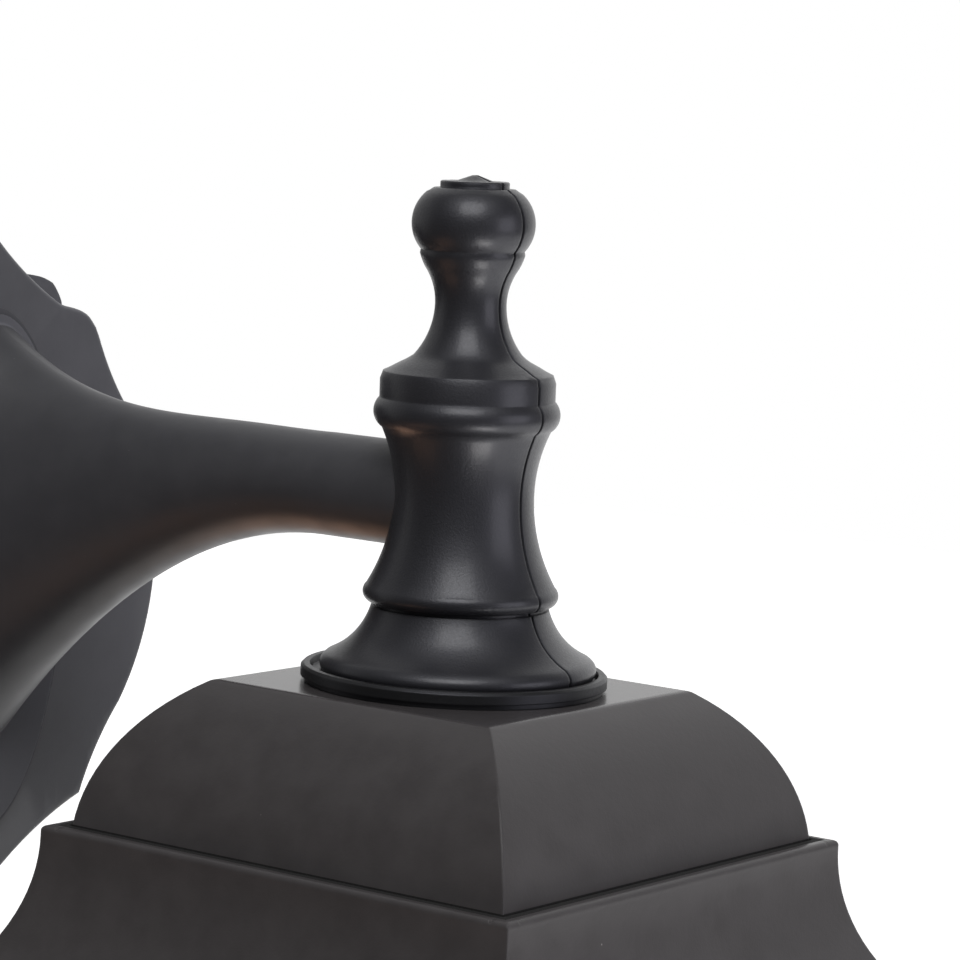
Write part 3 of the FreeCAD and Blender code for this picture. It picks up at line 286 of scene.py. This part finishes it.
# Wall plate: the solid with fuller, softer upper shoulders and a fuller lobe of the flange behind each.
# In mm; places are (sideways, up), and depth is measured from bodyFrom towards the room.
plateShape = {"shoulder": (39.7, 59.8), "bodyFrom": -2.4, "draftDepth": 16.25, "draft": 1.39,
              "along": (0.716, -0.698), "outward": (0.698, 0.716), "slope": 0.45, "skin": (1.6, 2.8),
              "outside": -2.5, "push": (0.33, 0.944), "swell": 1.6, "swellAt": -5.0, "swellReach": (9.0, 6.0),
              "trim": 0.45, "trimReach": 3.5, "rimTip": (0.0, 88.88), "rimCorner": (43.3, 63.4),
              "rimHollow": 2.9, "rimBand": 0.9, "rimDrop": 3, "rimDepth": 0.3,
              "lobe": (24.0, 38.0, 39.5, 44.5), "lobeLift": 3.2, "cuts": (24, 56), "sharpDegrees": 30}
plate = bmesh.new()
plate.from_mesh(nodes["wall_plate"].data)
bmesh.ops.remove_doubles(plate, verts=plate.verts[:], dist=weldGap)
# cuts a millimetre apart give the shoulders and lobes points to move
for k in range(*plateShape["cuts"]):
    for side in (1, -1):
        bmesh.ops.bisect_plane(plate, geom=plate.verts[:] + plate.edges[:] + plate.faces[:], dist=weldGap,
                               plane_co=(side * k / 1000, 0, 0), plane_no=(1, 0, 0))
shoulder = Vector(plateShape["shoulder"])
along = Vector(plateShape["along"])
outward = Vector(plateShape["outward"])
push = Vector(plateShape["push"])
rimTip = Vector(plateShape["rimTip"])
rimCorner = Vector(plateShape["rimCorner"])
rise, full, fade, gone = plateShape["lobe"]
outer, inner = plateShape["skin"]
for vert in plate.verts:
    side = 1 if vert.co.x > 0 else -1
    spot = Vector((abs(vert.co.x), vert.co.z)) * 1000
    depth = plateShape["bodyFrom"] - vert.co.y * 1000
    run = min(spot.x / rimCorner.x, 1)
    rim = rimTip.y + run * (rimCorner.y - rimTip.y) - plateShape["rimHollow"] * 4 * run * (1 - run)
    rimFrom = max(rim - plateShape["rimBand"], rimCorner.y - plateShape["rimDrop"])
    onRim = rise < spot.x < gone and spot.y > rimFrom
    if onRim and depth < plateShape["rimDepth"]:
        raised = plateShape["lobeLift"] * eased((spot.x - rise) / (full - rise))
        spot.y += raised * eased((gone - spot.x) / (gone - fade))
    elif depth > 0:
        apex = shoulder - Vector((1, 1)) * plateShape["draft"] * min(depth / plateShape["draftDepth"], 1)
        across = (spot - apex).dot(along)
        inset = (apex - spot).dot(outward) - plateShape["slope"] * abs(across)
        reach = plateShape["swellReach"][0 if across < plateShape["swellAt"] else 1]
        crown = max(1 - ((across - plateShape["swellAt"]) / reach) ** 2, 0) ** 2
        cut = max(1 - abs(across) / plateShape["trimReach"], 0) ** 2
        upper = spot.y > 0 and inset > plateShape["outside"]
        share = eased((inner - inset) / (inner - outer)) if upper else 0
        spot += push * plateShape["swell"] * crown * share
        spot -= outward * plateShape["trim"] * cut * share
    vert.co.x = side * spot.x / 1000
    vert.co.z = spot.y / 1000
plateObject = addPiece("easedPlate", plate, plateCoat, plateShape["sharpDegrees"])
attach(plateObject, "root")
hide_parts("wall_plate")
print("wall plate done")


# Black ABS from a spark-eroded mould: near black, a fine even grain that breaks the highlights into specks,
# under a thin smoother skin. The grain is drawn coarser than it is, so that it shows.
def mouldedAbs(name, look):
    material, tree = newMaterial(name)
    place = addNode(tree, "ShaderNodeTexCoord").outputs["Object"]
    grain = addNode(tree, "ShaderNodeTexNoise", {"Scale": perMm(look["grainMm"]), "Detail": 3.0},
                    {"Vector": place})
    flow = addNode(tree, "ShaderNodeTexNoise", {"Scale": perMm(look["flowMm"]), "Detail": 3.0},
                   {"Vector": place})
    tone = addNode(tree, "ShaderNodeMix",
                   {"data_type": "RGBA", 6: hexToLinear(look["dark"]), 7: hexToLinear(look["light"])},
                   {0: flow.outputs["Fac"]})
    rough = addNode(tree, "ShaderNodeMapRange",
                    {"From Min": 0.3, "From Max": 0.7, "To Min": look["rough"] - look["roughSpread"],
                     "To Max": look["rough"] + look["roughSpread"]}, {"Value": grain.outputs["Fac"]})
    edge = addNode(tree, "ShaderNodeBevel", {"Radius": look["edgeMm"] / 1000, "samples": 6})
    relief = addNode(tree, "ShaderNodeBump", {"Strength": look["grain"], "Distance": 0.0001},
                     {"Height": grain.outputs["Fac"], "Normal": edge.outputs[0]})
    shader = addNode(tree, "ShaderNodeBsdfPrincipled",
                     {"IOR": 1.53, "Specular IOR Level": look["specular"],
                      "Specular Tint": hexToLinear(look["gloss"]),
                      "Coat Weight": look["skin"], "Coat Roughness": look["skinRough"]},
                     {"Base Color": tone.outputs[2], "Roughness": rough.outputs[0],
                      "Normal": relief.outputs[0]})
    return finishMaterial(material, tree, shader)


columnLook = {"dark": "#232326", "light": "#28282C", "gloss": "#F2F3FF", "grainMm": 0.5, "flowMm": 14,
              "grain": 0.65, "rough": 0.48, "roughSpread": 0.06, "specular": 0.5, "skin": 0.45,
              "skinRough": 0.26, "edgeMm": 0.9}
columnAbs = mouldedAbs("sparkErodedAbs", columnLook)
dress(columnAbs, "column_left", "column_right")

# Column halves: the turned solids with a fuller foot, a rounder shoulder over the collar, a fuller ball and a
# slight lean on the tube. Radii and levels in mm, from the axis and the foot's underside.
columnShape = {"footEdge": (29.4, 0.0), "lipTop": (28.8, 4.2), "lipBulge": 1.1, "flareTop": (19.4, 14.9),
               "flareHollow": 1.6, "wallTop": (17.0, 14.9), "wallFoot": (27.2, 0.0), "footCut": 14.7,
               "arcSteps": 14, "turnSteps": 96, "seam": 0.8, "shoulder": (11.0, 16.0),
               "shoulderLevels": (64.5, 69.5), "shoulderLift": 1.1, "ball": (92.2, 105.0), "ballCore": 5,
               "ballSwell": 0.25, "leanDegrees": -0.75, "leanLevel": 61.0, "leanAxis": (0.806, 0.592, 0.0),
               "sharpDegrees": 35}
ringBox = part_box("column_ring")
columnAxisY = (ringBox[0].y + ringBox[1].y) / 2
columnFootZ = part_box("column_left")[0].z


# points of a shallow arc, its hollow to the right of the way from start to end, without the end itself
def bow(start, end, hollow, steps):
    run = Vector(end) - Vector(start)
    across = Vector((run.y, -run.x)).normalized() * hollow
    return [Vector(start) + run * k / steps + across * 4 * k * (steps - k) / steps ** 2 for k in range(steps)]


def columnFoot(side):
    steps = columnShape["arcSteps"]
    outline = bow(columnShape["footEdge"], columnShape["lipTop"], columnShape["lipBulge"], steps)
    outline += bow(columnShape["lipTop"], columnShape["flareTop"], -columnShape["flareHollow"], steps)
    outline += [Vector(columnShape["flareTop"])]
    outline += bow(columnShape["wallTop"], columnShape["wallFoot"], columnShape["flareHollow"], steps)
    outline += [Vector(columnShape["wallFoot"])]
    foot = bmesh.new()
    loop = [foot.verts.new((0, columnAxisY - p.x / 1000, columnFootZ + p.y / 1000)) for p in outline]
    rim = [foot.edges.new((loop[k - 1], loop[k])) for k in range(len(loop))]
    bmesh.ops.spin(foot, geom=loop + rim, cent=(0, columnAxisY, 0), axis=(0, 0, 1), angle=side * math.pi,
                   steps=columnShape["turnSteps"])
    bmesh.ops.bisect_plane(foot, geom=foot.verts[:] + foot.edges[:] + foot.faces[:], clear_inner=True,
                           plane_co=(side * columnShape["seam"] / 2000, 0, 0), plane_no=(side, 0, 0))
    bmesh.ops.holes_fill(foot, edges=[edge for edge in foot.edges if edge.is_boundary])
    bmesh.ops.recalc_face_normals(foot, faces=foot.faces[:])
    return foot


def columnHalf(name, node, side):
    half = bmesh.new()
    half.from_mesh(nodes[node].data)
    bmesh.ops.remove_doubles(half, verts=half.verts[:], dist=weldGap)
    low, high = columnShape["shoulderLevels"]
    inner, outer = columnShape["shoulder"]
    ballLow, ballHigh = columnShape["ball"]
    for vert in half.verts:
        level = (vert.co.z - columnFootZ) * 1000
        out = Vector((vert.co.x, vert.co.y - columnAxisY)) * 1000
        if low < level < high:
            share = eased((out.length - inner) / (outer - inner))
            vert.co.z += columnShape["shoulderLift"] / 1000 * share
        if ballLow < level < ballHigh and out.length > columnShape["ballCore"]:
            more = out.normalized() * columnShape["ballSwell"] / 1000
            vert.co.x += more.x
            vert.co.y += more.y
    # the solid's foot comes off and the fuller one takes its place
    bmesh.ops.bisect_plane(half, geom=half.verts[:] + half.edges[:] + half.faces[:], clear_inner=True,
                           plane_co=(0, 0, columnFootZ + columnShape["footCut"] / 1000), plane_no=(0, 0, 1))
    bmesh.ops.holes_fill(half, edges=[edge for edge in half.edges if edge.is_boundary])
    footMesh = bpy.data.meshes.new(name + "Foot")
    foot = columnFoot(side)
    foot.to_mesh(footMesh)
    foot.free()
    half.from_mesh(footMesh)
    bpy.data.meshes.remove(footMesh)
    lean = Matrix.Rotation(math.radians(columnShape["leanDegrees"]), 3, Vector(columnShape["leanAxis"]))
    leanCentre = (0, columnAxisY, columnFootZ + columnShape["leanLevel"] / 1000)
    bmesh.ops.rotate(half, verts=half.verts[:], cent=leanCentre, matrix=lean)
    # flat on the ring, and no higher than the solid
    for vert in half.verts:
        vert.co.z = min(max(vert.co.z, columnFootZ), cadBox[1].z)
    piece = addPiece(name, half, columnAbs, columnShape["sharpDegrees"])
    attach(piece, "root")
    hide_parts(node)


columnHalf("columnLeftHalf", "column_left", -1)
columnHalf("columnRightHalf", "column_right", 1)
print("column halves done")

# plain black ABS, all but smooth: deep black with soft highlights
ringLook = dict(columnLook, dark="#171717", light="#1A1A1A", grain=0.15, rough=0.42, skin=0.0, edgeMm=0.4)
dress(mouldedAbs("plainBlackAbs", ringLook), "column_ring")
# pressed phenolic resin: black and glossy
holderLook = dict(ringLook, dark="#151515", light="#191919", grain=0.05, rough=0.22)
dress(mouldedAbs("blackPhenolic", holderLook), "holder_cap", "holder_sleeve")
# moulded rubber: dull dark grey
gasketLook = dict(ringLook, dark="#222222", light="#282828", grain=0.3, rough=0.75, specular=0.3)
dress(mouldedAbs("blackRubber", gasketLook), "wall_gasket")
# moulded polyamide: milky white, half matt
blockLook = dict(ringLook, gloss="#FFFFFF", dark="#D8D6CE", light="#E0DED6", grain=0.1, rough=0.45)
dress(mouldedAbs("whitePolyamide", blockLook), "terminal_block")
# glazed porcelain: warm white and wet-looking
porcelainLook = dict(ringLook, gloss="#FFFFFF", dark="#DAD6CA", light="#E4E0D6", flowMm=6, grain=0.05,
                     rough=0.2)
dress(mouldedAbs("glazedPorcelain", porcelainLook), "holder_core")
print("moulded pieces done")


# Plated and bare metals: crystalline patches a few millimetres wide, fine drawing marks
def platedMetal(name, look):
    material, tree = newMaterial(name)
    place = addNode(tree, "ShaderNodeTexCoord").outputs["Object"]
    patches = addNode(tree, "ShaderNodeTexVoronoi", {"Scale": perMm(look["patchMm"])}, {"Vector": place})
    marks = addNode(tree, "ShaderNodeTexNoise", {"Scale": perMm(look["markMm"]), "Detail": 4.0},
                    {"Vector": place})
    tone = addNode(tree, "ShaderNodeMix",
                   {"data_type": "RGBA", 6: hexToLinear(look["dark"]), 7: hexToLinear(look["light"])},
                   {0: patches.outputs["Color"]})
    rough = addNode(tree, "ShaderNodeMapRange",
                    {"From Min": 0.3, "From Max": 0.7, "To Min": look["rough"] - look["roughSpread"],
                     "To Max": look["rough"] + look["roughSpread"]}, {"Value": marks.outputs["Fac"]})
    relief = addNode(tree, "ShaderNodeBump", {"Strength": 0.1, "Distance": 0.0001},
                     {"Height": marks.outputs["Fac"]})
    shader = addNode(tree, "ShaderNodeBsdfPrincipled", {"Metallic": look["metallic"]},
                     {"Base Color": tone.outputs[2], "Roughness": rough.outputs[0],
                      "Normal": relief.outputs[0]})
    return finishMaterial(material, tree, shader)


# zinc plate: pale grey with a faint spangle
zincLook = {"dark": "#B4B6B2", "light": "#C6C8C4", "patchMm": 3, "markMm": 0.6, "rough": 0.36,
            "roughSpread": 0.08, "metallic": 1.0}
dress(platedMetal("zincPlatedSteel", zincLook), "mounting_bracket", "side_screws", "terminal_screws",
      "arm_screws", "threaded_tube", "elbow_nut", "roof_washer", "roof_nut", "knob_nut")
# blackened steel: dark satin, its oxide hides the metal
blackenedLook = dict(zincLook, dark="#202020", light="#2A2A2A", rough=0.42, metallic=0.0)
dress(platedMetal("blackenedSteel", blackenedLook), "cage_screws", "tray_screws")
# stamped brass: warm yellow, fairly bright
brassLook = dict(zincLook, dark="#C9A865", light="#D6B878", patchMm=8, rough=0.3)
dress(platedMetal("stampedBrass", brassLook), "screw_shell", "centre_contact")
print("metals done")

# Opal glass globe on a nickel-plated screw cap: milky and glossy below, bright metal with a soft swell above
bulbLook = {"glass": "#F1EEE4", "glassShade": "#E9E6DC", "hazeMm": 25, "cap": "#C3C2BC", "capLevel": -0.0751,
            "swellMm": 22.62}
bulbMaterial, bulbTree = newMaterial("opalGlassBulb")
bulbPlace = addNode(bulbTree, "ShaderNodeTexCoord").outputs["Object"]
height = addNode(bulbTree, "ShaderNodeSeparateXYZ", links={"Vector": bulbPlace}).outputs["Z"]
haze = addNode(bulbTree, "ShaderNodeTexNoise", {"Scale": perMm(bulbLook["hazeMm"]), "Detail": 2.0},
               {"Vector": bulbPlace})
milk = addNode(bulbTree, "ShaderNodeMix",
               {"data_type": "RGBA", 6: hexToLinear(bulbLook["glass"]),
                7: hexToLinear(bulbLook["glassShade"])}, {0: haze.outputs["Fac"]})
globe = addNode(bulbTree, "ShaderNodeBsdfPrincipled",
                {"Roughness": 0.18, "Subsurface Weight": 0.3, "Subsurface Radius": (0.004, 0.004, 0.003)},
                {"Base Color": milk.outputs[2]})
# a wave texture repeats every pi / 10 at scale 1
swell = addNode(bulbTree, "ShaderNodeTexWave",
                {"bands_direction": "Z", "Scale": perMm(bulbLook["swellMm"]) * math.pi / 10},
                {"Vector": bulbPlace})
swellRelief = addNode(bulbTree, "ShaderNodeBump", {"Strength": 0.6, "Distance": 0.0006},
                      {"Height": swell.outputs["Fac"]})
screwCap = addNode(bulbTree, "ShaderNodeBsdfPrincipled",
                   {"Base Color": hexToLinear(bulbLook["cap"]), "Metallic": 1.0, "Roughness": 0.3},
                   {"Normal": swellRelief.outputs[0]})
isCap = addNode(bulbTree, "ShaderNodeMath", {"operation": "GREATER_THAN", 1: bulbLook["capLevel"]},
                {0: height})
bulbShader = addNode(bulbTree, "ShaderNodeMixShader",
                     links={0: isCap.outputs[0], 1: globe.outputs[0], 2: screwCap.outputs[0]})
dress(finishMaterial(bulbMaterial, bulbTree, bulbShader), "bulb")

# Clear float glass: colourless face, faint rolled waviness
paneLook = {"tint": "#F4F8F6", "waveMm": 30, "rough": 0.02}
paneMaterial, paneTree = newMaterial("clearFloatGlass")
panePlace = addNode(paneTree, "ShaderNodeTexCoord").outputs["Object"]
wave = addNode(paneTree, "ShaderNodeTexNoise", {"Scale": perMm(paneLook["waveMm"]), "Detail": 1.0},
               {"Vector": panePlace})
waveRelief = addNode(paneTree, "ShaderNodeBump", {"Strength": 0.05, "Distance": 0.001},
                     {"Height": wave.outputs["Fac"]})
paneShader = addNode(paneTree, "ShaderNodeBsdfPrincipled",
                     {"Base Color": hexToLinear(paneLook["tint"]), "IOR": 1.5, "Roughness": paneLook["rough"],
                      "Transmission Weight": 1.0}, {"Normal": waveRelief.outputs[0]})
dress(finishMaterial(paneMaterial, paneTree, paneShader), "pane_right", "pane_back", "pane_left",
      "pane_front")
print("lamp and glass done")

# pale floor board under and behind the light: white to the eye, and it keeps the light's soft shadow;
# gloss sees a warm patch of it behind the arm
floorLook = {"level": -0.56, "size": 4.4, "middle": (2.1, 0.6), "colour": "#EFEFEE", "glow": 0.9,
             "warm": "#FFB27A", "warmGlow": 1.4, "warmMiddle": (0.08, 0.42, -0.56), "warmCore": 0.12,
             "warmReach": 0.42}
bpy.ops.mesh.primitive_plane_add(size=floorLook["size"], location=(*floorLook["middle"], floorLook["level"]))
floor = bpy.context.object
floor.name = "paleFloor"
floorMaterial, floorTree = newMaterial("paleFloorBoard")
rays = addNode(floorTree, "ShaderNodeLightPath")
boardPlace = addNode(floorTree, "ShaderNodeNewGeometry")
away = addNode(floorTree, "ShaderNodeVectorMath", {"operation": "DISTANCE", 1: floorLook["warmMiddle"]},
               {0: boardPlace.outputs["Position"]})
patch = addNode(floorTree, "ShaderNodeMapRange",
                {"interpolation_type": "SMOOTHSTEP", "From Min": floorLook["warmCore"],
                 "From Max": floorLook["warmReach"], "To Min": 1.0, "To Max": 0.0},
                {"Value": away.outputs["Value"]})
tinted = addNode(floorTree, "ShaderNodeMath", {"operation": "MULTIPLY"},
                 {0: patch.outputs[0], 1: rays.outputs["Is Glossy Ray"]})
sheen = addNode(floorTree, "ShaderNodeMix",
                {"data_type": "RGBA", 6: (1, 1, 1, 1), 7: hexToLinear(floorLook["warm"])},
                {0: tinted.outputs[0]})
seen = addNode(floorTree, "ShaderNodeMath", {"operation": "MAXIMUM"},
               {0: rays.outputs["Is Camera Ray"], 1: rays.outputs["Is Glossy Ray"]})
seenAll = addNode(floorTree, "ShaderNodeMath", {"operation": "MAXIMUM"},
                  {0: seen.outputs[0], 1: rays.outputs["Is Transmission Ray"]})
shine = addNode(floorTree, "ShaderNodeMapRange",
                {"To Min": floorLook["glow"], "To Max": floorLook["warmGlow"]}, {"Value": tinted.outputs[0]})
glow = addNode(floorTree, "ShaderNodeMath", {"operation": "MULTIPLY"},
               {0: seenAll.outputs[0], 1: shine.outputs[0]})
lift = addNode(floorTree, "ShaderNodeEmission",
               links={"Color": sheen.outputs[2], "Strength": glow.outputs[0]})
board = addNode(floorTree, "ShaderNodeBsdfDiffuse", {"Color": hexToLinear(floorLook["colour"])})
litBoard = addNode(floorTree, "ShaderNodeAddShader", links={0: board.outputs[0], 1: lift.outputs[0]})
# open from underneath, so that the light can be looked at from below too
clear = addNode(floorTree, "ShaderNodeBsdfTransparent")
floorShader = addNode(floorTree, "ShaderNodeMixShader",
                      links={0: boardPlace.outputs["Backfacing"], 1: litBoard.outputs[0],
                             2: clear.outputs[0]})
floor.data.materials.append(finishMaterial(floorMaterial, floorTree, floorShader))


# a direction as the photographer sees it: azimuth clockwise from straight behind the light, height in degrees
def towards(azimuth, height):
    turn = math.radians(photoCamera["azimuth"] + 90 - azimuth)
    rise = math.radians(height)
    return Vector((math.cos(turn) * math.cos(rise), math.sin(turn) * math.cos(rise), math.sin(rise)))


# studio room: white to the eye and through glass; gloss and shade see white cloths in a dim room,
# the brightest of them the white backdrop behind the light
roomLook = {"dim": 0.05, "cloths": [
    {"azimuth": 22, "height": 6, "inner": 22, "outer": 54, "level": 1.0},
    {"azimuth": 350, "height": 34, "inner": 10, "outer": 50, "level": 0.62},
    {"azimuth": 300, "height": 8, "inner": 8, "outer": 42, "level": 0.4},
    {"azimuth": 185, "height": 62, "inner": 12, "outer": 52, "level": 0.45},
]}
world = bpy.data.worlds.new("studioRoom")
scene.world = world
world.use_nodes = True
worldTree = world.node_tree
worldTree.nodes.clear()
rays = addNode(worldTree, "ShaderNodeLightPath")
direction = addNode(worldTree, "ShaderNodeTexCoord").outputs["Generated"]
roomLevel = None
for cloth in roomLook["cloths"]:
    facing = addNode(worldTree, "ShaderNodeVectorMath",
                     {"operation": "DOT_PRODUCT", 1: towards(cloth["azimuth"], cloth["height"])},
                     {0: direction})
    spread = addNode(worldTree, "ShaderNodeMapRange",
                     {"interpolation_type": "SMOOTHSTEP", "From Min": math.cos(math.radians(cloth["outer"])),
                      "From Max": math.cos(math.radians(cloth["inner"])), "To Min": roomLook["dim"],
                      "To Max": cloth["level"]}, {"Value": facing.outputs["Value"]})
    if roomLevel:
        roomLevel = addNode(worldTree, "ShaderNodeMath", {"operation": "MAXIMUM"},
                            {0: roomLevel.outputs[0], 1: spread.outputs[0]})
    else:
        roomLevel = spread
eye = addNode(worldTree, "ShaderNodeMath", {"operation": "MAXIMUM"},
              {0: rays.outputs["Is Camera Ray"], 1: rays.outputs["Is Transmission Ray"]})
level = addNode(worldTree, "ShaderNodeMix", {3: 1.0}, {0: eye.outputs[0], 2: roomLevel.outputs[0]})
roomLight = addNode(worldTree, "ShaderNodeBackground", {"Color": (1, 1, 1, 1)},
                    {"Strength": level.outputs[0]})
addNode(worldTree, "ShaderNodeOutputWorld", links={"Surface": roomLight.outputs[0]})

# soft boxes and reflector cards, each placed by its direction from the column
lampCentre = Vector((0, -0.162, 0.02))
softBoxes = {
    "highBox": {"azimuth": 186, "height": 50, "distance": 1.2, "size": (0.75, 0.75), "watts": 7.0,
                "colour": "#FFFFFF"},
    "lowCard": {"azimuth": 151, "height": -45, "distance": 0.7, "size": (0.28, 0.2), "watts": 1.45,
                "colour": "#FFFDFB"},
    "rightBox": {"azimuth": 116, "height": 6, "distance": 1.3, "size": (0.8, 0.8), "watts": 3.6,
                 "colour": "#F6F5FF"},
    "warmCard": {"azimuth": 250, "height": -40, "distance": 0.5, "size": (0.3, 0.2), "watts": 0.1,
                 "colour": "#FFC4A0"},
}
for name, box in softBoxes.items():
    lamp = bpy.data.lights.new(name, "AREA")
    lamp.shape = "RECTANGLE"
    lamp.size, lamp.size_y = box["size"]
    lamp.energy = box["watts"]
    lamp.color = hexToLinear(box["colour"])[:3]
    lampObject = bpy.data.objects.new(name, lamp)
    scene.collection.objects.link(lampObject)
    outward = towards(box["azimuth"], box["height"])
    lampObject.location = lampCentre + outward * box["distance"]
    lampObject.rotation_euler = (-outward).to_track_quat("-Z", "Y").to_euler()
print("room and lamps done")

bpy.context.view_layer.update()
